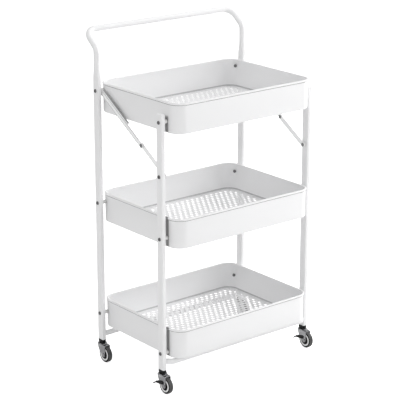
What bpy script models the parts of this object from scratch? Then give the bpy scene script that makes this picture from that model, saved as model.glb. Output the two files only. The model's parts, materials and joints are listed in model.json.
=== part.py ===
"""Foldable three-tier trolley cart: a bent rear frame with a push handle, a front frame that stays
upright while the trays tip up between them, two folding stays and four swivel castors.

Metres, +Z up. X runs along the trays' long side, the push handle is at +Y, and the floor is z = 0.
"""

import math

import bmesh
import bpy
from mathutils import Matrix, Vector

# trays
TRAY_LENGTH = 0.400          # over the rolled rims, along X
TRAY_DEPTH = 0.295           # over the rolled rims, along Y
TRAY_HEIGHT = 0.070
TRAY_CORNER = 0.030          # plan radius of the wall
TRAY_WALL = 0.0012
TRAY_FLANGE = 0.012          # the ledge that carries the mesh floor
RIM_RADIUS = 0.0025
BOTTOM_TRAY_Z = 0.082         # underside of the lowest tray
TIER_SPACING = 0.261
FLOOR_SHEET = 0.0012

# tubes
TUBE_RADIUS = 0.007
TUBE_WALL = 0.0012
POST_WIDTH = 0.020           # the flattened tube, along Y
POST_THICKNESS = 0.010       # the flattened tube, along X
POST_CORNER = 0.0022
POST_GAP = 0.0115            # tray wall to post
POST_FOOT_Z = 0.0545
FRONT_POST_ABOVE_PIVOT = 0.018
FLAT_END_ABOVE_RIM = 0.009   # the rear posts are flattened up to this far above the top rim
ROUND_START_ABOVE_RIM = 0.039   # and fully round from here
HANDLE_BEND_ABOVE_RIM = 0.079
HANDLE_BAR_ABOVE_RIM = 0.115
HANDLE_BACK = 0.044
HANDLE_LOWER_BEND = 0.022
HANDLE_CORNER_BEND = 0.027
BAR_RADIUS = 0.006           # lower crossbars

# linkage
REAR_PIVOT_FROM_BACK = 0.023
FRONT_PIVOT_FROM_FRONT = 0.039
PIVOT_FALL = 0.027           # the front pivot lies this much lower
PIVOT_DROPS = {"top": 0.017, "middle": 0.021}   # rear pivot below its rim
BOTTOM_PIVOT_RISE = 0.038    # rear pivot above the lowest tray's underside
STAY_FOOT_BELOW_PIVOT = 0.122
STAY_UPPER_SHARE = 0.655
STAY_WIDTH = 0.012
STAY_THICKNESS = 0.0018
STAY_RIB = 0.0007
FRONT_BAR_FORWARD = 0.015    # from the bottom front pivots
FRONT_BAR_UNDER_TRAY = 0.003
REAR_BAR_BELOW = 0.054       # from the bottom rear pivots

# fasteners
SHANK_RADIUS = 0.0029
SHOULDER_RADIUS = 0.0045
HEAD_RADIUS = 0.0041
HEAD_HEIGHT = 0.0022
NUT_RADIUS = 0.0038
NUT_HEIGHT = 0.0030
RIVET_RADIUS = 0.0022
RIVET_HEAD_RADIUS = 0.0045
RIVET_HEAD = 0.0012
ELBOW_FLANGE = 0.0003

# castors
WHEEL_RADIUS = 0.020
WHEEL_WIDTH = 0.0115
TYRE_THICKNESS = 0.0042
TRAIL = 0.014
AXLE_RADIUS = 0.0025
FORK_PLATE = 0.0015
FORK_SIDE_GAP = 0.0008
FORK_TOP_GAP = 0.001
CROWN_THICKNESS = 0.002
CROWN_RADIUS = 0.0115
RACE_RADIUS = 0.012
RACE_HEIGHT = 0.0024
STEM_RADIUS = 0.0035
STEM_INSERT = 0.022
PLUG_INSERT = 0.028
FORK_BACK = 0.0075           # fork plate behind the swivel axis
AXLE_BOSS = 0.0063
AXLE_HEAD_RADIUS = 0.0038
AXLE_HEAD = 0.0013
BRAKE_TRAVEL_DEG = 14.0
BRAKE_PIVOT = (0.004, 0.007)  # from the axle, along Y and Z
BRAKE_PLATE = 0.0014
BRAKE_REACH = 0.0380         # pedal tip behind the axle

# clearances
FIT = 0.0003                 # between neighbouring pieces
RUNNING = 0.0004             # a pin in its hole
CUT = 0.004                  # how far a drill runs past its piece

ROUND = 10                   # sides of small round pieces

# derived places
WALL_X = TRAY_LENGTH / 2 - (RIM_RADIUS - TRAY_WALL / 2)
WALL_Y = TRAY_DEPTH / 2 - (RIM_RADIUS - TRAY_WALL / 2)
POST_X = WALL_X + POST_GAP + POST_THICKNESS / 2
POST_INNER_X = POST_X - POST_THICKNESS / 2
POST_OUTER_X = POST_X + POST_THICKNESS / 2
REAR_FROM_CENTRE = TRAY_DEPTH / 2 - REAR_PIVOT_FROM_BACK
CART_BACK = REAR_FROM_CENTRE + HANDLE_BACK + TUBE_RADIUS
TRAY_Y = (TRAY_DEPTH / 2 - CART_BACK) / 2     # puts the middle of the cart's depth at y = 0
REAR_Y = TRAY_Y + REAR_FROM_CENTRE
PIVOT_SPAN = TRAY_DEPTH - REAR_PIVOT_FROM_BACK - FRONT_PIVOT_FROM_FRONT
FRONT_Y = REAR_Y - PIVOT_SPAN
RIM_Z = {
    "bottom": BOTTOM_TRAY_Z + TRAY_HEIGHT,
    "middle": BOTTOM_TRAY_Z + TRAY_HEIGHT + TIER_SPACING,
    "top": BOTTOM_TRAY_Z + TRAY_HEIGHT + 2 * TIER_SPACING,
}
FLAT_END_Z = RIM_Z["top"] + FLAT_END_ABOVE_RIM
ROUND_START_Z = RIM_Z["top"] + ROUND_START_ABOVE_RIM
HANDLE_BEND_Z = RIM_Z["top"] + HANDLE_BEND_ABOVE_RIM
HANDLE_BAR_Z = RIM_Z["top"] + HANDLE_BAR_ABOVE_RIM
REAR_PIVOT_Z = {tier: RIM_Z[tier] - drop for tier, drop in PIVOT_DROPS.items()}
REAR_PIVOT_Z["bottom"] = BOTTOM_TRAY_Z + BOTTOM_PIVOT_RISE
FRONT_PIVOT_Z = {tier: REAR_PIVOT_Z[tier] - PIVOT_FALL for tier in RIM_Z}
STAY_FOOT_Z = FRONT_PIVOT_Z["top"] - STAY_FOOT_BELOW_PIVOT
ELBOW_Y = REAR_Y + (FRONT_Y - REAR_Y) * STAY_UPPER_SHARE
ELBOW_Z = REAR_PIVOT_Z["top"] + (STAY_FOOT_Z - REAR_PIVOT_Z["top"]) * STAY_UPPER_SHARE
# the two stay links lie side by side in the gap between tray and post
UPPER_STAY_X = POST_INNER_X - FIT - RIVET_HEAD - FIT - STAY_THICKNESS / 2
LOWER_STAY_X = UPPER_STAY_X - STAY_THICKNESS - 0.001
SIDES = {"left": -1, "right": 1}
SWIVEL_Y = {"front": FRONT_Y, "rear": REAR_Y}
CROWN_BOTTOM_Z = 2 * WHEEL_RADIUS + FORK_TOP_GAP
RACE_BOTTOM_Z = CROWN_BOTTOM_Z + CROWN_THICKNESS + FIT
FORK_INNER = WHEEL_WIDTH / 2 + FORK_SIDE_GAP


# ---------------------------------------------------------------- scene and materials

def clear_scene():
    for obj in list(bpy.data.objects):
        bpy.data.objects.remove(obj, do_unlink=True)


def material(name, colour, roughness, metallic):
    mat = bpy.data.materials.new(name)
    mat.use_nodes = True
    shader = mat.node_tree.nodes["Principled BSDF"]
    shader.inputs["Base Color"].default_value = (*colour, 1.0)
    shader.inputs["Roughness"].default_value = roughness
    shader.inputs["Metallic"].default_value = metallic
    mat.diffuse_color = (*colour, 1.0)
    return mat


def new_object(name, bm, mat):
    """A named object from a finished bmesh, with smooth faces and sharp edges where it turns."""
    bmesh.ops.remove_doubles(bm, verts=bm.verts, dist=1e-6)
    bmesh.ops.recalc_face_normals(bm, faces=bm.faces)
    mesh = bpy.data.meshes.new(name)
    bm.to_mesh(mesh)
    bm.free()
    mesh.materials.append(mat)
    mesh.shade_smooth()
    mesh.set_sharp_from_angle(angle=math.radians(35))
    obj = bpy.data.objects.new(name, mesh)
    bpy.context.collection.objects.link(obj)
    return obj


def joint_empty(name, point, parent=None):
    """An empty on a joint's axis, which the moving pieces hang from."""
    empty = bpy.data.objects.new(name, None)
    empty.empty_display_size = 0.02
    empty["axis_point"] = list(point)
    bpy.context.collection.objects.link(empty)
    if parent:
        empty.parent = parent
        point = Vector(point) - Vector(parent["axis_point"])
    empty.location = point
    return empty


def hang(obj, empty):
    """Moves a piece's origin to its joint's axis and parents it there."""
    obj.data.transform(Matrix.Translation(-Vector(empty["axis_point"])))
    obj.parent = empty
    return obj


# ---------------------------------------------------------------- shapes

def rounded_rectangle(half_x, half_y, radius, steps):
    """Points of a rounded rectangle, counter-clockwise, with steps + 1 points on each corner."""
    points = []
    for corner in range(4):
        sx = (1, -1, -1, 1)[corner]
        sy = (1, 1, -1, -1)[corner]
        for i in range(steps + 1):
            a = math.pi / 2 * (corner + i / steps)
            points.append((
                sx * (half_x - radius) + radius * math.cos(a),
                sy * (half_y - radius) + radius * math.sin(a),
            ))
    return points


def circle(radius, count, turn=0.0):
    return [
        (radius * math.cos(turn + 2 * math.pi * i / count), radius * math.sin(turn + 2 * math.pi * i / count))
        for i in range(count)
    ]


def loft(bm, rings, close_ring_loop=False, cap_start=False, cap_end=False):
    """Skins a list of equal rings of points with quads."""
    verts = [[bm.verts.new(p) for p in ring] for ring in rings]
    pairs = list(zip(verts, verts[1:]))
    if close_ring_loop:
        pairs.append((verts[-1], verts[0]))
    for a, b in pairs:
        for i in range(len(a)):
            j = (i + 1) % len(a)
            bm.faces.new((a[i], a[j], b[j], b[i]))
    if cap_start:
        bm.faces.new(reversed(verts[0]))
    if cap_end:
        bm.faces.new(verts[-1])
    return verts


def lathe(name, profile, centre, axis, mat, sides=ROUND):
    """A turned piece: profile is (distance along the axis, radius), from one end to the other."""
    bm = bmesh.new()
    centre = Vector(centre)
    axis = Vector(axis)
    u = Vector((0, 1, 0)) if abs(axis.x) > 0.5 else Vector((1, 0, 0))
    v = axis.cross(u)
    rings = []
    for along, radius in profile:
        turn = math.pi / sides
        rings.append([centre + axis * along + u * a + v * b for a, b in circle(radius, sides, turn)])
    loft(bm, rings, cap_start=True, cap_end=True)
    return new_object(name, bm, mat)


def turned_ring(name, outline, centre, axis, mat, sides):
    """A turned piece with a hole: outline is a closed loop of (distance along the axis, radius)."""
    bm = bmesh.new()
    centre = Vector(centre)
    axis = Vector(axis)
    u = Vector((0, 1, 0)) if abs(axis.x) > 0.5 else Vector((1, 0, 0))
    v = axis.cross(u)
    rings = [
        [centre + axis * along + u * a + v * b for a, b in circle(radius, sides)]
        for along, radius in outline
    ]
    loft(bm, rings, close_ring_loop=True)
    return new_object(name, bm, mat)


def extrude_outline(bm, outline, low, high, to_world):
    """A prism on a flat outline: to_world(a, b, h) gives a point at height h."""
    loft(
        bm,
        [[to_world(a, b, low) for a, b in outline], [to_world(a, b, high) for a, b in outline]],
        cap_start=True,
        cap_end=True,
    )


def cutter(name, bm):
    mesh = bpy.data.meshes.new(name)
    bmesh.ops.recalc_face_normals(bm, faces=bm.faces)
    bm.to_mesh(mesh)
    bm.free()
    obj = bpy.data.objects.new(name, mesh)
    obj.hide_render = True
    obj.display_type = "WIRE"
    bpy.context.collection.objects.link(obj)
    return obj


def boolean(obj, tool, operation):
    mod = obj.modifiers.new(tool.name, "BOOLEAN")
    mod.operation = operation
    mod.solver = "EXACT"
    mod.object = tool


def drill(obj, holes, radius, x_low, x_high):
    """Round holes along X through a piece, at a list of (y, z)."""
    bm = bmesh.new()
    for y, z in holes:
        outline = circle(radius, ROUND, math.pi / ROUND)
        extrude_outline(bm, outline, x_low, x_high, lambda a, b, h, y=y, z=z: (h, y + a, z + b))
    boolean(obj, cutter(obj.name + "_drill", bm), "DIFFERENCE")


def fillet_path(points, radii, steps):
    """A polyline with its inner corners turned into arcs."""
    path = [Vector(points[0])]
    for i in range(1, len(points) - 1):
        before, here, after = Vector(points[i - 1]), Vector(points[i]), Vector(points[i + 1])
        d0 = (before - here).normalized()
        d1 = (after - here).normalized()
        half = d0.angle(d1) / 2
        reach = radii[i - 1] / math.tan(half)
        centre = here + (d0 + d1).normalized() * (radii[i - 1] / math.sin(half))
        start = here + d0 * reach - centre
        end = here + d1 * reach - centre
        turn = start.angle(end)
        normal = start.cross(end).normalized()
        for k in range(steps + 1):
            path.append(centre + Matrix.Rotation(turn * k / steps, 3, normal) @ start)
    path.append(Vector(points[-1]))
    return path


def path_frames(path, first_u):
    """Centre and cross-section axes at each point, carried along the path without twist."""
    frames = []
    u = Vector(first_u)
    for i, p in enumerate(path):
        before = path[max(i - 1, 0)]
        after = path[min(i + 1, len(path) - 1)]
        tangent = (p - before).normalized() + (after - p).normalized()
        tangent.normalize()
        u = (u - tangent * u.dot(tangent)).normalized()
        frames.append((p, u, tangent.cross(u)))
    return frames


def post_section(share_round, inset):
    """The tube's outline: 0 is the flattened post, 1 is the round tube, inset is the wall."""
    flat = rounded_rectangle(
        POST_THICKNESS / 2 - inset, POST_WIDTH / 2 - inset, POST_CORNER - inset, 2)
    round_ = circle(TUBE_RADIUS - inset, len(flat), math.pi / len(flat))
    return [
        (a[0] * (1 - share_round) + b[0] * share_round, a[1] * (1 - share_round) + b[1] * share_round)
        for a, b in zip(flat, round_)
    ]


def section_ring(frame, section):
    centre, u, v = frame
    return [centre + u * a + v * b for a, b in section]


# ---------------------------------------------------------------- frames

def rear_frame_tube(mat):
    """One tube bent into both rear posts and the push handle, flattened where the pivots go through."""
    def leg(side):
        return [
            (side * POST_X, REAR_Y, POST_FOOT_Z),
            (side * POST_X, REAR_Y, FLAT_END_Z),
            (side * POST_X, REAR_Y, ROUND_START_Z - 0.020),
            (side * POST_X, REAR_Y, HANDLE_BEND_Z),
            (side * POST_X, REAR_Y + HANDLE_BACK, HANDLE_BAR_Z),
        ]
    corners = leg(-1) + list(reversed(leg(1)))
    bends = fillet_path(
        [corners[2], corners[3], corners[4], corners[5], corners[6], corners[7]],
        [HANDLE_LOWER_BEND, HANDLE_CORNER_BEND, HANDLE_CORNER_BEND, HANDLE_LOWER_BEND], 4)
    path = [Vector(corners[0]), Vector(corners[1])] + bends + [Vector(corners[8]), Vector(corners[9])]
    frames = path_frames(path, (1, 0, 0))

    def share(frame):
        z = frame[0].z
        return min(1.0, max(0.0, (z - FLAT_END_Z) / (ROUND_START_Z - FLAT_END_Z)))
    outer = [section_ring(f, post_section(share(f), 0.0)) for f in frames]
    inner = [section_ring(f, post_section(share(f), TUBE_WALL)) for f in frames]
    bm = bmesh.new()
    loft(bm, outer + list(reversed(inner)), close_ring_loop=True)
    obj = new_object("rear_frame_tube", bm, mat)
    holes = [(REAR_Y, z) for z in REAR_PIVOT_Z.values()]
    drill(obj, holes, SHANK_RADIUS + RUNNING, -POST_OUTER_X - CUT, POST_OUTER_X + CUT)
    return obj


def rear_crossbar(mat):
    """The round bar welded between the feet of the rear posts."""
    z = REAR_PIVOT_Z["bottom"] - REAR_BAR_BELOW
    half = POST_INNER_X - FIT
    return lathe("rear_crossbar", [(-half, BAR_RADIUS), (half, BAR_RADIUS)], (0, REAR_Y, z), (1, 0, 0), mat)


def front_post(side_name, mat):
    """A flattened tube with a rounded, closed top end."""
    side = SIDES[side_name]
    top = FRONT_PIVOT_Z["top"] + FRONT_POST_ABOVE_PIVOT

    def ring(z, inset, shrink=1.0):
        return [
            (side * POST_X + a * shrink, FRONT_Y + b * shrink, z) for a, b in post_section(0.0, inset)]
    outer = [ring(POST_FOOT_Z, 0.0), ring(top - 0.003, 0.0), ring(top - 0.001, 0.0, 0.93), ring(top, 0.0, 0.78)]
    inner = [ring(POST_FOOT_Z, TUBE_WALL), ring(top - 0.004, TUBE_WALL)]
    bm = bmesh.new()
    verts = loft(bm, list(reversed(inner)) + outer)
    bm.faces.new(verts[0])
    bm.faces.new(verts[-1])
    obj = new_object("front_post_" + side_name, bm, mat)
    holes = [(FRONT_Y, z) for z in FRONT_PIVOT_Z.values()] + [(FRONT_Y, STAY_FOOT_Z)]
    inner_x, outer_x = sorted((side * (POST_INNER_X - CUT), side * (POST_OUTER_X + CUT)))
    drill(obj, holes, SHANK_RADIUS + RUNNING, inner_x, outer_x)
    return obj


def front_crossbar(mat):
    """A bar bowed forward from the front posts, so that the bottom tray can tip up behind it."""
    z = BOTTOM_TRAY_Z - FRONT_BAR_UNDER_TRAY - BAR_RADIUS
    end_x = POST_INNER_X - FIT
    end_y = FRONT_Y - 0.003
    bar_y = FRONT_Y - FRONT_BAR_FORWARD
    elbow_x = end_x - 0.014
    corners = [
        (-end_x, end_y, z), (-end_x + 0.003, end_y, z), (-elbow_x, bar_y, z),
        (elbow_x, bar_y, z), (end_x - 0.003, end_y, z), (end_x, end_y, z),
    ]
    path = fillet_path(corners, [0.003, 0.010, 0.010, 0.003], 3)
    frames = path_frames(path, (0, 0, 1))
    bm = bmesh.new()
    rings = [section_ring(f, circle(BAR_RADIUS, ROUND)) for f in frames]
    loft(bm, rings, cap_start=True, cap_end=True)
    return new_object("front_crossbar", bm, mat)


# ---------------------------------------------------------------- trays

def tray_loop(offset, z):
    """The tray's plan outline at a height, moved outwards from the wall by offset."""
    return [
        (x, TRAY_Y + y, z)
        for x, y in rounded_rectangle(WALL_X + offset, WALL_Y + offset, TRAY_CORNER + offset, 5)
    ]


def tray_shell(tier, mat):
    """A drawn sheet pan with a rolled rim and a ledge round its open bottom."""
    base = RIM_Z[tier] - TRAY_HEIGHT
    bend = 0.003
    rim_centre = TRAY_HEIGHT - RIM_RADIUS
    profile = [(-TRAY_FLANGE, 0.0), (-bend, 0.0), (-bend * 0.3, bend * 0.3), (0.0, bend)]
    profile.append((0.0, rim_centre - RIM_RADIUS * 0.85))
    for k in range(5):
        a = math.radians(-50 + 57 * k)
        profile.append((-TRAY_WALL / 2 + RIM_RADIUS * math.cos(a), rim_centre + RIM_RADIUS * math.sin(a)))
    profile.append((-TRAY_WALL, rim_centre - RIM_RADIUS * 0.85))
    profile += [(-TRAY_WALL, TRAY_WALL), (-TRAY_FLANGE, TRAY_WALL)]
    bm = bmesh.new()
    loft(bm, [tray_loop(offset, base + z) for offset, z in profile], close_ring_loop=True)
    obj = new_object(tier + "_tray_shell", bm, mat)
    holes = [(REAR_Y, REAR_PIVOT_Z[tier]), (FRONT_Y, FRONT_PIVOT_Z[tier])]
    drill(obj, holes, SHANK_RADIUS + RUNNING, -WALL_X - CUT, WALL_X + CUT)
    return obj


def tray_floor(tier, mat):
    """The mesh floor sheet, lying on the ledge."""
    base = RIM_Z[tier] - TRAY_HEIGHT + TRAY_WALL + FIT
    inset = -TRAY_WALL - FIT
    bm = bmesh.new()
    loft(bm, [tray_loop(inset, base), tray_loop(inset, base + FLOOR_SHEET)], cap_start=True, cap_end=True)
    return new_object(tier + "_tray_floor", bm, mat)


# ---------------------------------------------------------------- fasteners

def corner_inset(y):
    """How far the tray's inner wall has curved inwards at the far edge of a nut at y."""
    inner = TRAY_CORNER - TRAY_WALL
    into_corner = abs(y - TRAY_Y) + NUT_RADIUS - (WALL_Y - TRAY_CORNER)
    if into_corner <= 0:
        return 0.0
    return inner - math.sqrt(inner ** 2 - into_corner ** 2)


def pivot_bolt(name, side, y, z, stay, mat):
    """A shoulder bolt: head outside the post, shoulder in the gap, nut inside the tray.

    The top rear bolts also carry the upper stay, on a bare length of shank between two shoulders.
    """
    head_in = POST_OUTER_X + FIT
    head_out = head_in + HEAD_HEIGHT
    shoulder_out = POST_INNER_X - FIT
    shoulder_in = WALL_X + FIT
    nut_out = WALL_X - TRAY_WALL - FIT - corner_inset(y)
    nut_in = nut_out - NUT_HEIGHT
    profile = [(nut_in, NUT_RADIUS * 0.9), (nut_out, NUT_RADIUS)]
    profile += [(nut_out, SHANK_RADIUS), (shoulder_in, SHANK_RADIUS), (shoulder_in, SHOULDER_RADIUS)]
    if stay:
        inner = UPPER_STAY_X - STAY_THICKNESS / 2 - FIT
        outer = UPPER_STAY_X + STAY_THICKNESS / 2 + FIT
        profile += [(inner, SHOULDER_RADIUS), (inner, SHANK_RADIUS)]
        profile += [(outer, SHANK_RADIUS), (outer, SHOULDER_RADIUS)]
    profile += [(shoulder_out, SHOULDER_RADIUS), (shoulder_out, SHANK_RADIUS)]
    profile += [(head_in, SHANK_RADIUS), (head_in, HEAD_RADIUS), (head_out, HEAD_RADIUS * 0.8)]
    return lathe(name, profile, (0, y, z), (side, 0, 0), mat)


def stay_foot_screw(side_name, mat):
    """The screw at the stay's foot, with a spacer boss that stops short of the link's layer."""
    side = SIDES[side_name]
    head_in = POST_OUTER_X + FIT
    head_out = head_in + HEAD_HEIGHT
    boss_out = POST_INNER_X - FIT
    boss_in = LOWER_STAY_X + STAY_THICKNESS / 2 + 2 * FIT
    profile = [(boss_in, SHOULDER_RADIUS), (boss_out, SHOULDER_RADIUS), (boss_out, SHANK_RADIUS)]
    profile += [(head_in, SHANK_RADIUS), (head_in, HEAD_RADIUS), (head_out, HEAD_RADIUS * 0.8)]
    return lathe("stay_foot_screw_" + side_name, profile, (0, FRONT_Y, STAY_FOOT_Z), (side, 0, 0), mat)


def stay_foot_rivet(name, side, y, z, outer_x, mat):
    """The dome-headed pin that holds the lower stay to its screw."""
    inner_face = LOWER_STAY_X - STAY_THICKNESS / 2 - FIT
    profile = [
        (inner_face - RIVET_HEAD, RIVET_HEAD_RADIUS * 0.7), (inner_face - RIVET_HEAD * 0.4, RIVET_HEAD_RADIUS),
        (inner_face, RIVET_HEAD_RADIUS), (inner_face, RIVET_RADIUS), (outer_x, RIVET_RADIUS),
    ]
    return lathe(name, profile, (0, y, z), (side, 0, 0), mat)


def stay_elbow_rivet(name, side, y, z, outer_x, mat):
    """The elbow's pin, held in the upper stay alone: the elbow is the linkage's open pivot."""
    inner_face = UPPER_STAY_X - STAY_THICKNESS / 2 - FIT
    profile = [
        (inner_face - ELBOW_FLANGE, RIVET_HEAD_RADIUS), (inner_face, RIVET_HEAD_RADIUS),
        (inner_face, RIVET_RADIUS), (outer_x, RIVET_RADIUS), (outer_x, RIVET_HEAD_RADIUS),
        (outer_x + RIVET_HEAD * 0.6, RIVET_HEAD_RADIUS), (outer_x + RIVET_HEAD, RIVET_HEAD_RADIUS * 0.7),
    ]
    return lathe(name, profile, (0, y, z), (side, 0, 0), mat)


# ---------------------------------------------------------------- folding stays

def stay_link(name, side, layer_x, start, end, hole_start, hole_end, mat):
    """A strip with round ends and a raised rib along its middle.

    An end with a hole radius is drilled; an end with none carries the elbow's inner button instead.
    """
    a = Vector((0, *start))
    b = Vector((0, *end))
    along = (b - a).normalized()
    across = Vector((1, 0, 0)).cross(along)
    length = (b - a).length
    half = STAY_WIDTH / 2

    def capsule(radius, inset):
        points = []
        for centre, base in ((length - inset, -90), (inset, 90)):
            for k in range(7):
                t = math.radians(base + 30 * k)
                points.append((centre + radius * math.cos(t), radius * math.sin(t)))
        return points

    def world(s, w, x):
        return a + along * s + across * w + Vector((side * x, 0, 0))
    low, high = layer_x - STAY_THICKNESS / 2, layer_x + STAY_THICKNESS / 2
    rib_inset = STAY_WIDTH * 1.1
    bm = bmesh.new()
    extrude_outline(bm, capsule(half, 0.0), low, high - STAY_RIB, world)
    obj = new_object(name, bm, mat)
    rib = bmesh.new()
    extrude_outline(rib, capsule(half * 0.45, rib_inset), low + STAY_RIB, high, world)
    boolean(obj, cutter(name + "_rib", rib), "UNION")
    x_low, x_high = sorted((side * (low - CUT), side * (high + CUT)))
    for place, radius in ((start, hole_start), (end, hole_end)):
        if radius:
            drill(obj, [place], radius, x_low, x_high)
        else:
            button = bmesh.new()
            inner_x = side * (low - RIVET_HEAD)
            middle_x = side * (low + STAY_RIB)
            extrude_outline(
                button, circle(RIVET_HEAD_RADIUS, ROUND), inner_x, middle_x,
                lambda u, v, h, place=place: (h, place[0] + u, place[1] + v))
            boolean(obj, cutter(name + "_button", button), "UNION")
    return obj


# ---------------------------------------------------------------- castors

def castor_plug(name, x, y, mat):
    """The plastic plug in the post's foot, with a collar below it and a bore for the stem."""
    collar_low = RACE_BOTTOM_Z + RACE_HEIGHT + FIT
    collar_high = POST_FOOT_Z - FIT
    inset = TUBE_WALL + FIT

    def ring(z, section_inset):
        return [(x + a, y + b, z) for a, b in post_section(0.0, section_inset)]

    def bore(z):
        count = len(post_section(0.0, 0.0))
        return [(x + a, y + b, z) for a, b in circle(STEM_RADIUS + RUNNING, count, math.pi / count)]
    top = POST_FOOT_Z + PLUG_INSERT
    bm = bmesh.new()
    rings = [ring(collar_low, 0.0005), ring(collar_high, 0.0005), ring(collar_high, inset), ring(top, inset)]
    rings += [bore(top), bore(collar_low)]
    loft(bm, rings, close_ring_loop=True)
    return new_object(name, bm, mat)


def castor_stem(name, x, y, mat):
    """The chromed stem with its ball race, riveted loosely through the fork's crown."""
    race_top = RACE_BOTTOM_Z + RACE_HEIGHT
    profile = [
        (RACE_BOTTOM_Z, RACE_RADIUS), (race_top - 0.0012, RACE_RADIUS), (race_top, RACE_RADIUS * 0.86),
        (race_top, STEM_RADIUS), (race_top + STEM_INSERT, STEM_RADIUS),
    ]
    neck = [(CROWN_BOTTOM_Z + FIT, STEM_RADIUS * 0.8), (RACE_BOTTOM_Z, STEM_RADIUS * 0.8)]
    return lathe(name, neck + profile, (x, y, 0), (0, 0, 1), mat)


def castor_fork(name, x, y, brake, mat):
    """A folded channel: a round crown, two side plates down to the axle, and the axle holes."""
    axle_y = y - TRAIL
    axle_z = WHEEL_RADIUS
    plate_out = FORK_INNER + FORK_PLATE
    front_y = axle_y - AXLE_BOSS
    back_y = y + FORK_BACK
    top_z = CROWN_BOTTOM_Z + CROWN_THICKNESS

    side_outline = [(front_y, top_z), (front_y, axle_z)]
    for k in range(1, 6):
        a = math.radians(180 + 30 * k)
        side_outline.append((axle_y + AXLE_BOSS * math.cos(a), axle_z + AXLE_BOSS * math.sin(a)))
    side_outline += [(back_y - 0.002, CROWN_BOTTOM_Z - 0.009), (back_y, CROWN_BOTTOM_Z - 0.004), (back_y, top_z)]

    bm = bmesh.new()
    extrude_outline(bm, side_outline, -plate_out, -FORK_INNER, lambda a, b, h: (x + h, a, b))
    obj = new_object(name, bm, mat)
    other = bmesh.new()
    extrude_outline(other, side_outline, FORK_INNER, plate_out, lambda a, b, h: (x + h, a, b))
    boolean(obj, cutter(name + "_plate", other), "UNION")
    bridge = bmesh.new()
    bridge_outline = [
        (-plate_out + 0.0002, front_y + 0.0002), (plate_out - 0.0002, front_y + 0.0002),
        (plate_out - 0.0002, back_y - 0.0002), (-plate_out + 0.0002, back_y - 0.0002),
    ]
    extrude_outline(
        bridge, bridge_outline, CROWN_BOTTOM_Z, top_z - 0.0002, lambda a, b, h: (x + a, b, h))
    boolean(obj, cutter(name + "_bridge", bridge), "UNION")
    crown = bmesh.new()
    extrude_outline(
        crown, circle(CROWN_RADIUS, 20), CROWN_BOTTOM_Z + 0.0003, top_z, lambda a, b, h: (x + a, y + b, h))
    boolean(obj, cutter(name + "_crown", crown), "UNION")
    holes = [(axle_y, axle_z)]
    drill(obj, holes, AXLE_RADIUS + RUNNING, x - plate_out - CUT, x + plate_out + CUT)
    if brake:
        pins = [(axle_y + BRAKE_PIVOT[0], axle_z + BRAKE_PIVOT[1])]
        for low in (-plate_out - CUT, FORK_INNER - FORK_SIDE_GAP / 2):
            tool = bmesh.new()
            for py, pz in pins:
                extrude_outline(
                    tool, circle(0.0018, ROUND), x + low, x + low + FORK_PLATE + CUT + FORK_SIDE_GAP / 2,
                    lambda a, b, h, py=py, pz=pz: (h, py + a, pz + b))
            boolean(obj, cutter(f"{name}_pin_hole_{'a' if low < 0 else 'b'}", tool), "DIFFERENCE")
    neck = bmesh.new()
    extrude_outline(
        neck, circle(STEM_RADIUS * 0.8 + RUNNING, 16), CROWN_BOTTOM_Z - CUT, top_z + CUT,
        lambda a, b, h: (x + a, y + b, h))
    boolean(obj, cutter(name + "_neck_hole", neck), "DIFFERENCE")
    return obj


def castor_tyre(name, x, y, mat):
    half = WHEEL_WIDTH / 2
    inner = WHEEL_RADIUS - TYRE_THICKNESS
    shoulder = WHEEL_RADIUS - 0.0016
    outline = [
        (-half, inner), (half, inner), (half, shoulder), (half - 0.0022, WHEEL_RADIUS),
        (-half + 0.0022, WHEEL_RADIUS), (-half, shoulder),
    ]
    return turned_ring(name, outline, (x, y - TRAIL, WHEEL_RADIUS), (1, 0, 0), mat, 24)


def castor_hub(name, x, y, mat):
    half = WHEEL_WIDTH / 2
    rim = WHEEL_RADIUS - TYRE_THICKNESS - FIT
    bore = AXLE_RADIUS + RUNNING
    web = half - 0.0022
    boss = bore + 0.0025
    outline = [
        (-half, rim), (half, rim), (half, rim - 0.005), (web, rim - 0.005), (web, boss), (half, boss),
        (half, bore), (-half, bore), (-half, boss), (-web, boss), (-web, rim - 0.005), (-half, rim - 0.005),
    ]
    return turned_ring(name, outline, (x, y - TRAIL, WHEEL_RADIUS), (1, 0, 0), mat, 16)


def castor_axle(name, x, y, mat):
    """The axle pin, with a head outside each fork plate."""
    plate_out = FORK_INNER + FORK_PLATE
    head = plate_out + FIT
    profile = [
        (-head - AXLE_HEAD, AXLE_HEAD_RADIUS * 0.75), (-head - 0.0005, AXLE_HEAD_RADIUS), (-head, AXLE_HEAD_RADIUS),
        (-head, AXLE_RADIUS), (head, AXLE_RADIUS), (head, AXLE_HEAD_RADIUS), (head + 0.0005, AXLE_HEAD_RADIUS),
        (head + AXLE_HEAD, AXLE_HEAD_RADIUS * 0.75),
    ]
    return lathe(name, profile, (x, y - TRAIL, WHEEL_RADIUS), (1, 0, 0), mat)


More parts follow.
